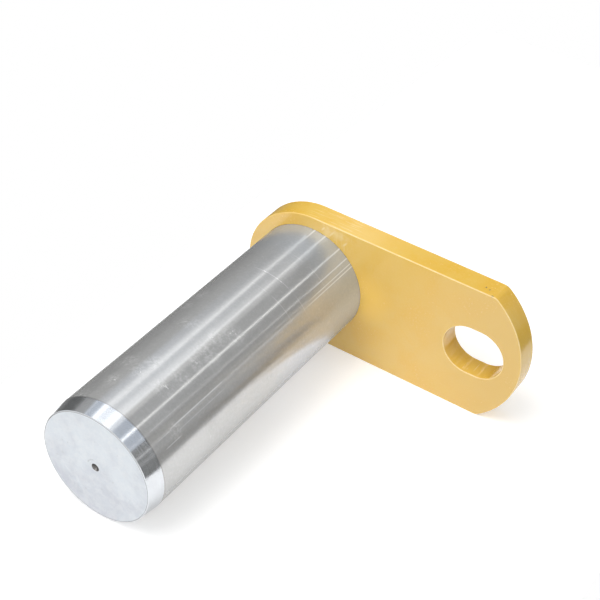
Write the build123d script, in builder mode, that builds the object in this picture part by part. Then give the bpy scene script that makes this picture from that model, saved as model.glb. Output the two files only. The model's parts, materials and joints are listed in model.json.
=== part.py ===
from build123d import *
import math
import os

# Link pin for the linkage of an earth-moving machine: a turned and ground steel pin whose head is
# welded into a thick flag plate. The plate's slot takes a keeper bolt, which stops the pin from
# turning and from working out of its joint. Millimetres throughout.
#
# Frame: the origin is where the pin's axis meets the flag plate's inner face.
#   -Y  along the pin, towards its free end
#   +X  along the flag plate, towards its slot
#   +Z  up, across the width of the plate, which stands on its long edge

# ---- Pin ----
pin_diameter = 80.0
pin_reach = 217.5  # from the plate's inner face to the free end
lead_in_length = 12.0  # taper that guides the pin into its bushes
lead_in_angle = 8.0  # degrees, measured from the axis
lead_in_blend = 12.0  # radius that softens the rim between taper and journal
end_edge_break = 0.4
head_chamfer = 3.0  # weld preparation round the head
relief_width = 2.0  # groove inside the plate's bore, where the grinding runs out
relief_depth = 0.6

# ---- Centre-drilled holes, one in each end ----
centre_pilot_diameter = 2.5
centre_mouth_diameter = 5.3
centre_mouth_angle = 60.0  # degrees, the full cone
centre_pilot_depth = 6.0  # from the end face to the end of the straight pilot
centre_tip_angle = 118.0  # degrees, the full cone

# ---- Flag plate ----
flag_thickness = 16.0
eye_wall = 8.75  # plate left between the pin and the round end
slot_centre = 124.0  # from the pin's axis
slot_edge_distance = 33.5  # from the slot's centre to the far end
slot_width = 36.0
slot_length = 42.5
far_arc_extra = 12.25  # how much flatter the far end is than a full round
corner_radius = 6.0
plate_edge_break = 0.5  # sharp cut edges ground off
slot_edge_break = 0.5
bore_clearance = 0.1  # radial, between the pin and the plate's bore

# ---- Weld ----
bore_bevel = 4.5  # weld preparation round the bore, at 45 degrees
weld_lap = 0.8  # how far the bead runs out over each face
weld_crown = 1.8  # height of the bead above the plate's outer face

# ---- Worked out from the sizes above ----
pin_radius = pin_diameter / 2
free_end = -pin_reach
lead_in_start = free_end + lead_in_length
lead_in_radius = pin_radius - lead_in_length * math.tan(math.radians(lead_in_angle))
outer_face = flag_thickness
head_radius = pin_radius - head_chamfer

centre_pilot_radius = centre_pilot_diameter / 2
centre_mouth_radius = centre_mouth_diameter / 2
centre_mouth_depth = (centre_mouth_radius - centre_pilot_radius) / math.tan(
    math.radians(centre_mouth_angle / 2)
)
centre_tip_depth = centre_pilot_radius / math.tan(math.radians(centre_tip_angle / 2))

half_width = pin_radius + eye_wall
flag_reach = slot_centre + slot_edge_distance
far_arc_radius = half_width + far_arc_extra
far_corner = flag_reach - far_arc_radius + math.sqrt(far_arc_radius**2 - half_width**2)
bore_radius = pin_radius + bore_clearance
bevel_radius = bore_radius + bore_bevel

os.makedirs("parts", exist_ok=True)


# ---- Pin: turned from one bar, tapered at the free end and chamfered at the head ----
with BuildPart() as pin:
    with BuildSketch(Plane.XY) as pin_half_section:
        with BuildLine():
            Polyline(
                (0, free_end),
                (lead_in_radius, free_end),
                (pin_radius, lead_in_start),
                (pin_radius, 0),
                (pin_radius - relief_depth, 0),
                (pin_radius - relief_depth, relief_width),
                (pin_radius, relief_width),
                (pin_radius, outer_face - head_chamfer),
                (head_radius, outer_face),
                (0, outer_face),
                close=True,
            )
        make_face()
    revolve(axis=Axis.Y)

    rims = pin.edges().filter_by(GeomType.CIRCLE)
    fillet(rims.group_by(Axis.Y)[1], radius=lead_in_blend)
    rims = pin.edges().filter_by(GeomType.CIRCLE)
    chamfer(rims.group_by(Axis.Y)[0], length=end_edge_break)

    # Each centre hole is a cone for the lathe's centre, then a straight pilot with a drilled tip.
    for end, inward in ((free_end, 1), (outer_face, -1)):
        with BuildSketch(Plane.XY) as centre_hole:
            with BuildLine():
                Polyline(
                    (0, end),
                    (centre_mouth_radius, end),
                    (centre_pilot_radius, end + inward * centre_mouth_depth),
                    (centre_pilot_radius, end + inward * centre_pilot_depth),
                    (0, end + inward * (centre_pilot_depth + centre_tip_depth)),
                    close=True,
                )
            make_face()
        revolve(axis=Axis.Y, mode=Mode.SUBTRACT)

pin.part.label = "pin"
export_step(pin.part, "parts/pin.step")


# ---- Flag plate: cut from thick plate, round about the pin, a flatter arc at the far end ----
with BuildPart() as flag_plate:
    with BuildSketch(Plane.XZ) as flag_outline:
        with BuildLine():
            CenterArc((0, 0), half_width, 90, 180)
            Line((0, -half_width), (far_corner, -half_width))
            ThreePointArc((far_corner, -half_width), (flag_reach, 0), (far_corner, half_width))
            Line((far_corner, half_width), (0, half_width))
        make_face()
    extrude(amount=-flag_thickness)

    through_edges = flag_plate.edges().filter_by(Axis.Y)
    fillet(through_edges.group_by(Axis.X)[-1], radius=corner_radius)
    outline_edges = flag_plate.edges() - flag_plate.edges().filter_by(Axis.Y)
    chamfer(outline_edges, length=plate_edge_break)

    with BuildSketch(Plane.XZ):
        with Locations((slot_centre, 0)):
            SlotOverall(slot_length, slot_width)
    extrude(amount=-flag_thickness, mode=Mode.SUBTRACT)
    slot_edges = flag_plate.edges(Select.LAST)
    chamfer(slot_edges - slot_edges.filter_by(Axis.Y), length=slot_edge_break)

    # The bore for the pin, bevelled on the outer side for the weld.
    with Locations(Plane.ZX.offset(outer_face)):
        CounterSinkHole(
            radius=bore_radius,
            counter_sink_radius=bevel_radius,
            depth=flag_thickness,
            counter_sink_angle=90,
        )

flag_plate.part.label = "flag_plate"
export_step(flag_plate.part, "parts/flag_plate.step")


# ---- Weld bead: fills the groove between head and plate, and stands proud in a low crown ----
with BuildPart() as weld_bead:
    with BuildSketch(Plane.XY) as bead_section:
        inner_toe = head_radius - weld_lap
        outer_toe = bevel_radius + weld_lap
        with BuildLine():
            Polyline(
                (inner_toe, outer_face),
                (head_radius, outer_face),
                (pin_radius, outer_face - head_chamfer),
                (pin_radius, outer_face - bore_bevel),
                (bore_radius, outer_face - bore_bevel),
                (bevel_radius, outer_face),
                (outer_toe, outer_face),
            )
            ThreePointArc(
                (outer_toe, outer_face),
                ((inner_toe + outer_toe) / 2, outer_face + weld_crown),
                (inner_toe, outer_face),
            )
        make_face()
    revolve(axis=Axis.Y)

weld_bead.part.label = "weld_bead"
export_step(weld_bead.part, "parts/weld_bead.step")
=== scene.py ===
"""Link pin: a ground steel pin welded into a painted flag plate, dressed for display.

Every length is in metres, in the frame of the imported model: the origin is on the pin's axis at
the flag plate's inner face, -Y runs to the pin's free end, +X along the plate to its slot.
"""

import json
import math

import bmesh
import bpy
from mathutils import Matrix, Vector


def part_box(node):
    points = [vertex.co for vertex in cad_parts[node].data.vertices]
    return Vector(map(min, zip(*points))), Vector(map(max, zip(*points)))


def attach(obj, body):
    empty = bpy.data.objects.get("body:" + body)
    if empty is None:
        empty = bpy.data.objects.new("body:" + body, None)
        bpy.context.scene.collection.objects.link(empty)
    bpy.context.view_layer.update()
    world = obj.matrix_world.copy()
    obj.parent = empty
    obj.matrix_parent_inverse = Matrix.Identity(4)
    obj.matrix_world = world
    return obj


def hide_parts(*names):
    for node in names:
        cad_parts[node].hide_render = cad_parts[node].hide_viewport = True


bl_info = {
    "name": "Link Pin",
    "version": (1, 0, 0),
    "blender": (4, 5, 0),
    "location": "View3D > Sidebar > Link Pin",
    "description": "Builds a welded link pin with its flag plate, and a plain stage for it",
    "category": "Add Mesh",
}

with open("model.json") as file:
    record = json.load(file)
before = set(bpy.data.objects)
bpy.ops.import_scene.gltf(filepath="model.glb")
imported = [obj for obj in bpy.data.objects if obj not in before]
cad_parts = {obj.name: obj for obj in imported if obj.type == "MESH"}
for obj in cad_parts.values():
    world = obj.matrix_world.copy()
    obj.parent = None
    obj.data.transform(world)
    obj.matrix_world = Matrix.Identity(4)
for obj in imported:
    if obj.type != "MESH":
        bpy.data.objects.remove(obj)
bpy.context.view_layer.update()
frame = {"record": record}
pin_low, pin_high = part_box("pin")
flag_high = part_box("flag_plate")[1]
bead_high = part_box("weld_bead")[1]
mounts = {mount["name"]: mount for mount in frame["record"]["mounts"]}

MM = 0.001
CRISP = math.radians(25)  # an edge that turns more than this stays sharp


# ---------------------------------------------------------------------------------------------
# Sizes and colours that a user would change
# ---------------------------------------------------------------------------------------------
def length(name, description, default):
    """A length in metres."""
    return bpy.props.FloatProperty(
        name=name, description=description, default=default, min=0, unit="LENGTH", precision=5
    )


def colour(name, description, default):
    """A colour without alpha, in linear values."""
    return bpy.props.FloatVectorProperty(
        name=name, description=description, default=default, subtype="COLOR", min=0, max=1
    )


def angle(name, description, degrees):
    """An angle, given in degrees."""
    return bpy.props.FloatProperty(
        name=name, description=description, default=math.radians(degrees), subtype="ANGLE"
    )


def count(name, description, default, least=0):
    """A whole number."""
    return bpy.props.IntProperty(
        name=name, description=description, default=default, min=least
    )


class LinkPinTurning(bpy.types.PropertyGroup):
    """Sizes of the turned and ground pin"""

    radius: length("Radius", "Radius of the ground journal", pin_high.x)
    reach: length("Reach", "From the plate's inner face to the free end", -pin_low.y)
    lead_in: length("Lead-in", "Length of the taper at the free end", 12 * MM)
    lead_in_angle: angle("Lead-in Angle", "Angle of the taper, measured from the axis", 8)
    blend: length("Blend", "Radius that softens the rim between taper and journal", 12 * MM)
    edge_break: length("Edge Break", "Chamfer round the free end", 0.4 * MM)
    relief_width: length("Relief Width", "Groove where the grinding runs out", 2 * MM)
    relief_depth: length("Relief Depth", "Depth of that groove", 0.6 * MM)
    head_chamfer: length("Head Chamfer", "Weld preparation round the head", 3 * MM)
    centre_mouth: length("Centre Mouth", "Radius of a centre hole's mouth", 2.65 * MM)
    centre_pilot: length("Centre Pilot", "Radius of a centre hole's pilot", 1.25 * MM)
    centre_depth: length("Centre Depth", "From the end face to the pilot's end", 6 * MM)
    steps: count("Steps", "Flats round the pin", 256, 32)


class LinkPinFlag(bpy.types.PropertyGroup):
    """Sizes of the flag plate"""

    thickness: length("Thickness", "Thickness of the plate", flag_high.y)
    half_width: length("Half Width", "Radius of the round end about the pin", flag_high.z)
    reach: length("Reach", "From the pin's axis to the far end", flag_high.x)
    far_radius: length("Far Radius", "Radius of the flatter far end", flag_high.z + 12.25 * MM)
    corner: length("Corner", "Radius of the two far corners", 6 * MM)
    slot_centre: length(
        "Slot Centre", "From the pin's axis to the slot", mounts["keeper_slot"]["pos_m"][0]
    )
    slot_length: length("Slot Length", "Overall length of the keeper slot", 42.5 * MM)
    slot_width: length("Slot Width", "Width of the keeper slot", 36 * MM)
    edge: length("Edge", "Width of the eased edges", 0.5 * MM)
    bore_gap: length("Bore Gap", "Radial clearance between bore and pin", 0.1 * MM)
    bevel: length("Bevel", "Weld preparation round the bore", 4.5 * MM)


class LinkPinWeld(bpy.types.PropertyGroup):
    """Sizes of the ring weld"""

    lap: length("Lap", "How far the bead runs out over each face", 0.8 * MM)
    crown: length("Crown", "Height of the bead", bead_high.y - flag_high.y)
    ripples: count("Ripples", "Ripples in one turn of the bead", 112, 20)
    ripple_height: length("Ripple Height", "Height of a ripple", 0.16 * MM)
    bow: bpy.props.FloatProperty(
        name="Bow", description="How far a ripple bows back, in ripples", default=1.6
    )
    wander: length("Wander", "How far the bead's toes wander", 0.4 * MM)
    seed: count("Seed", "Seed of the wander", 4)


class LinkPinFinish(bpy.types.PropertyGroup):
    """Colours of the finishes"""

    steel: colour("Steel", "Ground steel", (0.605, 0.605, 0.60))
    # Painted shade: ground steel darkened and tinted blue close by the plate.
    painted_shade_steel: colour("Shaded Steel", "Ground steel close by the plate", (0.44, 0.475, 0.51))
    # Painted light: ground steel made lighter and bluer on the lower side near the plate.
    painted_light_steel: colour("Cool Steel", "Ground steel that nobody handles", (0.66, 0.71, 0.82))
    worn_steel: colour("Worn Steel", "Ground steel where it is rubbed", (0.80, 0.80, 0.79))
    # Steel turned bright, which also colours the painted highlight lines on the journal.
    bright_and_highlight_steel: colour("Bright Steel", "Steel turned bright", (0.70, 0.72, 0.75))
    # Clouded patches of the end face, which also carry its painted shade towards the bottom.
    hazy_and_shade_steel: colour("Hazy Steel", "Clouded patches of the end face", (0.51, 0.53, 0.575))
    faced_steel: colour("Faced Steel", "Turned end face", (0.62, 0.655, 0.69))
    nicked_steel: colour("Nicked Steel", "Small nicks in the end face", (0.45, 0.46, 0.47))
    machined: colour("Machined", "Machined steel that nothing rubs", (0.24, 0.235, 0.23))
    oxide: colour("Oxide", "Dark rings and stains on steel", (0.09, 0.085, 0.08))
    paint: colour("Paint", "Yellow paint", (0.755, 0.485, 0.088))
    # Paint where it is dusty; it also colours the painted highlight on the eased edges.
    dusty_and_highlight_paint: colour("Light Paint", "Paint where it is dusty", (0.83, 0.59, 0.21))
    # Pale paint: the painted highlight on the eased edges and the painted reflection streaks
    # beside the pin, and also scratches and rubbed marks.
    pale_and_highlight_paint: colour("Edge Paint", "Paint on the eased edges", (0.86, 0.66, 0.30))
    # Painted shade: paint darkened towards the slot.
    painted_shade_paint: colour("Dull Paint", "Paint where hands have dulled it", (0.625, 0.393, 0.075))
    # Painted light: paint brightened beside the pin, where the pin shades the plate.
    painted_light_paint: colour("Fresh Paint", "Paint that nothing has rubbed", (0.87, 0.545, 0.08))
    paint_deep: colour("Deep Paint", "Paint where it pools", (0.75, 0.45, 0.057))
    chip: colour("Chip", "Dark steel where the paint is chipped", (0.07, 0.055, 0.045))


class LinkPinStage(bpy.types.PropertyGroup):
    """Floor, lights and camera"""

    floor: colour("Floor", "Colour of the floor sheet", (0.88, 0.88, 0.88))
    front_walls: colour("Front Walls", "Pale walls on the free end's side", (0.9, 0.9, 0.9))
    back_walls: colour("Back Walls", "Dark walls on the plate's side", (0.07, 0.07, 0.065))
    lamps: colour("Lamps", "Colour of the lamps", (1, 0.99, 0.97))
    sky: colour("Sky", "Colour of the skylights", (0.80, 0.88, 1.0))
    daylight: bpy.props.FloatProperty(
        name="Daylight",
        description="Brightness of the even light from all round",
        default=0.5,
        min=0,
        max=1,
        subtype="FACTOR",
    )
    aim: bpy.props.FloatVectorProperty(
        name="Aim",
        description="Point that the camera looks at",
        default=(0.03633, -0.06884, 0.04375),
        subtype="TRANSLATION",
        unit="LENGTH",
    )
    distance: length("Distance", "From the camera to that point", 0.85665)
    azimuth: angle("Azimuth", "Turn of the camera round the object", 31.4845)
    elevation: angle("Elevation", "Height of the camera as an angle", 39.3599)
    roll: angle("Roll", "Turn of the camera about its own line of sight", 3.9649)
    lens: bpy.props.FloatProperty(
        name="Lens", description="Focal length", default=85.255, min=1, unit="CAMERA"
    )


# ---------------------------------------------------------------------------------------------
# Help with node trees
# ---------------------------------------------------------------------------------------------
FLOAT, VECTOR, INTEGER = "NodeSocketFloat", "NodeSocketVector", "NodeSocketInt"
GEOMETRY, MATERIAL = "NodeSocketGeometry", "NodeSocketMaterial"


def feed(tree, node, key, value):
    """Puts a value on the node's input with that name or number, or joins a socket to it."""
    socket = node.inputs[key]
    if isinstance(value, bpy.types.NodeSocket):
        tree.links.new(value, socket)
    elif socket.type == "RGBA" and len(value) == 3:
        socket.default_value = (*value, 1)
    else:
        socket.default_value = value


def feeds(tree, node, **inputs):
    """Feeds each named input, where an underscore stands for a space in the name."""
    for key, value in inputs.items():
        feed(tree, node, key.replace("_", " "), value)


def add(tree, kind, settings=None, **inputs):
    """A new node, with its settings, and a value or another node's socket on each named input."""
    node = tree.nodes.new(kind)
    for key, value in (settings or {}).items():
        setattr(node, key, value)
    feeds(tree, node, **inputs)
    return node


def maths(tree, operation, *values):
    """The result of a Math node."""
    node = add(tree, "ShaderNodeMath", {"operation": operation})
    for number, value in enumerate(values):
        feed(tree, node, number, value)
    return node.outputs[0]


def product(tree, first, *others):
    """All the values multiplied together."""
    for other in others:
        first = maths(tree, "MULTIPLY", first, other)
    return first


def largest(tree, first, *others):
    """The largest of the values at each point."""
    for other in others:
        first = maths(tree, "MAXIMUM", first, other)
    return first


def raised(tree, base, *parts):
    """A base value, with each mask times its amount added."""
    for mask, amount in parts:
        base = maths(tree, "MULTIPLY_ADD", mask, amount, base)
    return base


def distance_from(tree, value, middle):
    """How far a value is from a middle, on either side of it."""
    return maths(tree, "ABSOLUTE", maths(tree, "SUBTRACT", value, middle))


def vectors(tree, operation, *values):
    """The vector, or the number, that a Vector Math node puts out."""
    node = add(tree, "ShaderNodeVectorMath", {"operation": operation})
    for number, value in enumerate(values):
        feed(tree, node, number, value)
    number_out = operation in ("LENGTH", "DISTANCE", "DOT_PRODUCT")
    return node.outputs["Value" if number_out else "Vector"]


def split(tree, vector):
    """The X, Y and Z of a vector."""
    return tuple(add(tree, "ShaderNodeSeparateXYZ", Vector=vector).outputs)


def fade(tree, value, low, high):
    """0 below low and 1 above high, or the other way round where low is the larger."""
    node = add(tree, "ShaderNodeMapRange", {"interpolation_type": "SMOOTHSTEP"}, Value=value)
    feeds(tree, node, From_Min=low, From_Max=high)
    return node.outputs["Result"]


def mix(tree, factor, first, second):
    """A colour between two colours."""
    node = add(tree, "ShaderNodeMix", {"data_type": "RGBA"}, Factor=factor)
    colours = [number for number, socket in enumerate(node.inputs) if socket.type == "RGBA"]
    for number, value in zip(colours, (first, second)):
        feed(tree, node, number, value)
    return next(socket for socket in node.outputs if socket.type == "RGBA")


def noise(tree, vector, scale, detail=3.0, roughness=0.5, distortion=0.0):
    """Soft noise between 0 and 1."""
    return add(
        tree, "ShaderNodeTexNoise", Vector=vector, Scale=scale, Detail=detail,
        Roughness=roughness, Distortion=distortion,
    ).outputs[0]


def spread(tree):
    """Lays the nodes out in columns, each to the left of what it feeds."""
    column = {node: 0 for node in tree.nodes}
    for _ in range(len(tree.nodes)):
        for joint in tree.links:
            behind = column[joint.to_node] + 1
            column[joint.from_node] = max(column[joint.from_node], behind)
    filled = {}
    for node, place in column.items():
        row = filled[place] = filled.get(place, 0) + 1
        node.location = (-240 * place, -200 * row)


def group(name, inputs, outputs, kind="ShaderNodeTree"):
    """A new node group. Gives the tree, its input sockets by name and its output node."""
    tree = bpy.data.node_groups.new(name, kind)
    for title, socket_type, default in inputs:
        socket = tree.interface.new_socket(title, in_out="INPUT", socket_type=socket_type)
        if default is not None:
            socket.default_value = default
    for title, socket_type in outputs:
        tree.interface.new_socket(title, in_out="OUTPUT", socket_type=socket_type)
    ins = tree.nodes.new("NodeGroupInput").outputs
    return tree, ins, tree.nodes.new("NodeGroupOutput")


def place(tree, shared, **inputs):
    """Puts a shared group in a material, and gives its outputs."""
    return add(tree, "ShaderNodeGroup", {"node_tree": shared}, **inputs).outputs


def blank(name):
    """A new material, its tree and its Principled BSDF."""
    material = bpy.data.materials.new(name)
    material.use_nodes = True
    tree = material.node_tree
    return material, tree, tree.nodes["Principled BSDF"]


def surface_point(tree):
    """The point of the surface, in metres in the frame."""
    return add(tree, "ShaderNodeTexCoord").outputs["Object"]


# ---------------------------------------------------------------------------------------------
# Effects that more than one finish shares
# ---------------------------------------------------------------------------------------------
def turning_marks():
    """Fine streaks left by a tool, each running some way round the axis."""
    tree, ins, out = group(
        "Turning Marks",
        [("Along", FLOAT, 0), ("Across", VECTOR, None), ("Pitch", FLOAT, MM),
         ("Run", FLOAT, 20 * MM)],
        [("Streaks", FLOAT), ("Bands", FLOAT)],
    )
    slow = vectors(tree, "SCALE", ins["Across"])
    feed(tree, slow.node, "Scale", maths(tree, "DIVIDE", 1.0, ins["Run"]))
    sideways, _, upwards = split(tree, slow)
    steps = maths(tree, "DIVIDE", ins["Along"], ins["Pitch"])
    fine = add(tree, "ShaderNodeCombineXYZ", X=sideways, Y=steps, Z=upwards).outputs[0]
    coarse = vectors(tree, "MULTIPLY", fine, (0.3, 0.12, 0.3))
    feed(tree, out, "Streaks", noise(tree, fine, 1.0, 2.0, 0.55))
    feed(tree, out, "Bands", noise(tree, coarse, 1.0, 2.0, 0.5))
    spread(tree)
    return tree


def handling_marks():
    """Small nicks, rubbed patches and a thin film of dust, thicker in patches."""
    tree, ins, out = group(
        "Handling Marks",
        [("Vector", VECTOR, None), ("Nick Size", FLOAT, 1.2 * MM), ("Nicks", FLOAT, 0.3),
         ("Patch Size", FLOAT, 30 * MM), ("Dust", FLOAT, 0.3)],
        [("Nicks", FLOAT), ("Patches", FLOAT), ("Dust", FLOAT)],
    )
    where = ins["Vector"]
    nick_scale = maths(tree, "DIVIDE", 1.0, ins["Nick Size"])
    patch_scale = maths(tree, "DIVIDE", 1.0, ins["Patch Size"])

    # A nick is a dot of wobbly outline, in the few cells that have one.
    cells = add(
        tree, "ShaderNodeTexVoronoi", {"feature": "F1"}, Vector=where,
        Scale=product(tree, nick_scale, 0.22),
    ).outputs
    reach = raised(tree, cells["Distance"], (noise(tree, where, nick_scale, 2.0), 0.5))
    chance = add(tree, "ShaderNodeSeparateColor", Color=cells["Color"]).outputs[0]
    rare = maths(tree, "LESS_THAN", chance, ins["Nicks"])
    feed(tree, out, "Nicks", product(tree, fade(tree, reach, 0.46, 0.36), rare))

    patches = noise(tree, where, patch_scale, 4.0, 0.55, 0.6)
    feed(tree, out, "Patches", fade(tree, patches, 0.35, 0.7))
    grains = noise(tree, where, product(tree, nick_scale, 0.6), 5.0, 0.7)
    feed(tree, out, "Dust", product(tree, fade(tree, grains, 0.4, 0.75), ins["Dust"], patches))
    spread(tree)
    return tree


def spot():
    """1 at a point of the surface, fading out to 0 at a distance from it."""
    tree, ins, out = group(
        "Spot",
        [("Vector", VECTOR, None), ("Centre", VECTOR, None), ("Reach", FLOAT, 10 * MM),
         ("Softness", FLOAT, 0.5)],
        [("Mask", FLOAT)],
    )
    away = vectors(tree, "DISTANCE", ins["Vector"], ins["Centre"])
    share_of_reach = maths(tree, "DIVIDE", away, ins["Reach"])
    inner = maths(tree, "SUBTRACT", 1.0, ins["Softness"])
    feed(tree, out, "Mask", fade(tree, share_of_reach, 1.0, inner))
    spread(tree)
    return tree


# ---------------------------------------------------------------------------------------------
# Finishes
# ---------------------------------------------------------------------------------------------
# Marks on the journal, in millimetres and in degrees round the axis from +X towards +Z.
RUBBED_SPOTS = (  # angle, place along the axis, reach
    (122, -105, 6), (121, -93, 8), (66, -134, 12), (63, -112, 10), (66, -160, 9),
    (66, -145, 8), (97, -173, 9), (100, -122, 9), (36, -186, 8), (114, -168, 10),
    (120, -205, 9), (108, -186, 8), (93, -163, 9), (68, -174, 9), (70, -122, 10),
)
FAINT_RINGS = (-69, -55, -30)  # place along the axis
# Painted highlights: bright lamp lines on the journal that run up to the plate.
PLATE_HIGHLIGHT_LINES = (  # angle, start along the axis, half width: these run up to the plate
    (87.3, -20, 0.9), (75.6, -20, 0.9), (58, -26, 0.8), (47, -50, 0.65), (41, -54, 0.55),
    (38, -58, 0.55),
)
# Painted highlights: short bright lamp lines near the free end.
FREE_END_HIGHLIGHT_LINES = (  # angle, middle along the axis, half length, strength
    (29, -190.5, 8, 0.6), (38.8, -194, 7, 0.3), (49.2, -186, 17, 0.2),
    (34.1, -162, 26, 0.25), (39.95, -163, 27, 0.75),
)

# Marks on the flag plate, in millimetres.
SLOT_SCRATCHES = (  # from the slot's middle along the plate, depth from its face, half length
    (-6, 3.2, 1.9), (-3.3, 3.9, 1.3), (1.1, 8.2, 6),
)
# Painted reflections: short pale streaks beside the pin.
REFLECTION_STREAKS = ((8, 44, 3), (14.5, 42.5, 5), (25, 39, 3.5))  # X, Z, half length
REFLECTION_STREAK_ANGLE = math.radians(54)  # from +X towards +Z


def spot_at(tree, effects, where, centre, reach, softness):
    """The mask of a soft spot round a point."""
    return place(
        tree, effects["spot"], Vector=where, Centre=centre, Reach=reach, Softness=softness
    )["Mask"]


def bump(tree, shader, height, strength, distance):
    """Fine relief that is too small for the mesh."""
    node = add(tree, "ShaderNodeBump", Strength=strength, Distance=distance, Height=height)
    feed(tree, shader, "Normal", node.outputs[0])


def brush(tree, shader, amount):
    """Ground gloss: a little grey, and spread across the lines by the piece's own UV map."""
    across = add(tree, "ShaderNodeTangent", {"direction_type": "UV_MAP", "uv_map": "turning"})
    feeds(
        tree, shader, Specular_Tint=(0.8, 0.8, 0.8), Anisotropic=amount,
        Tangent=across.outputs[0],
    )


def dimmed(tone, share_left):
    """A colour at a share of its brightness."""
    return [part * share_left for part in tone]


def on_journal(angle_round, along, radius):
    """The point of the journal at an angle round the axis, from +X towards +Z in degrees."""
    turn = math.radians(angle_round)
    return (radius * math.cos(turn), along, radius * math.sin(turn))


def rubbed_spots(tree, effects, where, radius):
    """Small patches where the journal is rubbed, each one mottled."""
    spots = [
        spot_at(tree, effects, where, on_journal(turn, y * MM, radius), reach * MM, 0.8)
        for turn, y, reach in RUBBED_SPOTS
    ]
    mottle = fade(tree, noise(tree, where, 420, 4.0, 0.7, 0.4), 0.38, 0.66)
    return product(tree, largest(tree, *spots), mottle)


def faint_rings(tree, effects, where, along, radius):
    """Thin rings on the upper side, worn away in places."""
    lines = [
        fade(tree, distance_from(tree, along, y * MM), 0.55 * MM, 0.1 * MM)
        for y in FAINT_RINGS
    ]
    worn_away = fade(tree, noise(tree, where, 60, 1.0), 0.32, 0.5)
    upper_side = spot_at(
        tree, effects, where, on_journal(64, -50 * MM, radius), 32 * MM, 0.5
    )
    return product(tree, largest(tree, *lines), product(tree, worn_away, upper_side))


def painted_highlight_lines(tree, effects, where, along, radius):
    """Painted highlights: bright lamp lines along the pin, up to the plate and near the free end.
    """
    flat = vectors(tree, "MULTIPLY", where, (1, 0, 1))
    highlights = []
    for turn, y, half_width in PLATE_HIGHLIGHT_LINES:
        line = spot_at(tree, effects, flat, on_journal(turn, 0, radius), half_width * MM, 0.8)
        begun = fade(tree, along, y * MM, (y + 20) * MM)
        highlights.append(product(tree, line, begun))
    for turn, y, half, strength in FREE_END_HIGHLIGHT_LINES:
        line = spot_at(tree, effects, flat, on_journal(turn, 0, radius), 0.6 * MM, 0.8)
        ends = fade(tree, distance_from(tree, along, y * MM), half * MM, 0.6 * half * MM)
        highlights.append(product(tree, line, product(tree, ends, strength)))
    return largest(tree, *highlights)


def journal_steel(effects, finish, size):
    """The journal: ground bright round and round, with a soft haze, light handling marks, painted
    highlight lines, and painted shade and painted light near the plate.
    """
    material, tree, shader = blank("journal_steel")
    where = surface_point(tree)
    _, along, height = split(tree, where)
    marks = place(
        tree, effects["turning"], Along=along, Across=where, Pitch=1.3 * MM, Run=9 * MM
    )
    wear = place(
        tree, effects["handling"], Vector=where, Nick_Size=1.1 * MM, Nicks=0.05,
        Patch_Size=28 * MM, Dust=0.1,
    )
    rubbed = rubbed_spots(tree, effects, where, size.radius)
    rings = faint_rings(tree, effects, where, along, size.radius)
    highlight_lines = painted_highlight_lines(tree, effects, where, along, size.radius)
    pale = largest(tree, rubbed, product(tree, wear["Nicks"], 0.4), rings)
    pale = product(tree, pale, 0.65)
    tone = mix(tree, wear["Patches"], finish.steel, dimmed(finish.steel, 0.95))
    tone = mix(tree, product(tree, pale, 0.6), tone, finish.worn_steel)
    # Painted shade: the journal is darker, bluer and less metallic close by the plate.
    painted_shade_beside_plate = product(tree, fade(tree, along, -45 * MM, -4 * MM), 0.8)
    tone = mix(tree, painted_shade_beside_plate, tone, finish.painted_shade_steel)

    # Painted light: the lower side is lighter and bluer near the plate.
    lower_side = fade(tree, height, 0.42 * size.radius, 0.05 * size.radius)
    near_plate = fade(tree, along, -115 * MM, -60 * MM)
    tone = mix(tree, product(tree, lower_side, near_plate, 0.5), tone, finish.painted_light_steel)

    # Painted highlights: bright lamp lines in bright steel, less metallic.
    tone = mix(tree, product(tree, highlight_lines, 0.6), tone, finish.bright_and_highlight_steel)
    from_rim = distance_from(tree, along, size.lead_in - size.reach)
    rim = fade(tree, from_rim, 0.9 * MM, 0.2 * MM)
    feeds(
        tree, shader,
        Base_Color=mix(tree, product(tree, rim, 0.3), tone, finish.oxide),
        Roughness=raised(
            tree, 0.135, (marks["Streaks"], 0.11), (wear["Patches"], 0.02), (pale, 0.1)
        ),
        Metallic=raised(
            tree, 0.62, (pale, -0.1), (painted_shade_beside_plate, -0.2), (highlight_lines, -0.3), (wear["Dust"], -1.0)
        ),
    )
    brush(tree, shader, 1.0)
    spread(tree)
    return material


def taper_steel(effects, finish):
    """The taper: turned and polished brighter than the journal."""
    material, tree, shader = blank("taper_steel")
    where = surface_point(tree)
    marks = place(
        tree, effects["turning"], Along=split(tree, where)[1], Across=where,
        Pitch=0.9 * MM, Run=14 * MM,
    )
    wear = place(
        tree, effects["handling"], Vector=where, Nick_Size=0.9 * MM, Nicks=0.05,
        Patch_Size=14 * MM, Dust=0.06,
    )
    bright = finish.bright_and_highlight_steel
    tone = mix(tree, wear["Patches"], bright, dimmed(bright, 0.95))
    feeds(
        tree, shader,
        Base_Color=mix(tree, product(tree, wear["Nicks"], 0.3), tone, finish.steel),
        Roughness=raised(tree, 0.1, (marks["Streaks"], 0.2)),
        Metallic=raised(tree, 0.92, (wear["Dust"], -1.0)),
    )
    brush(tree, shader, 0.8)
    spread(tree)
    return material


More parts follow.
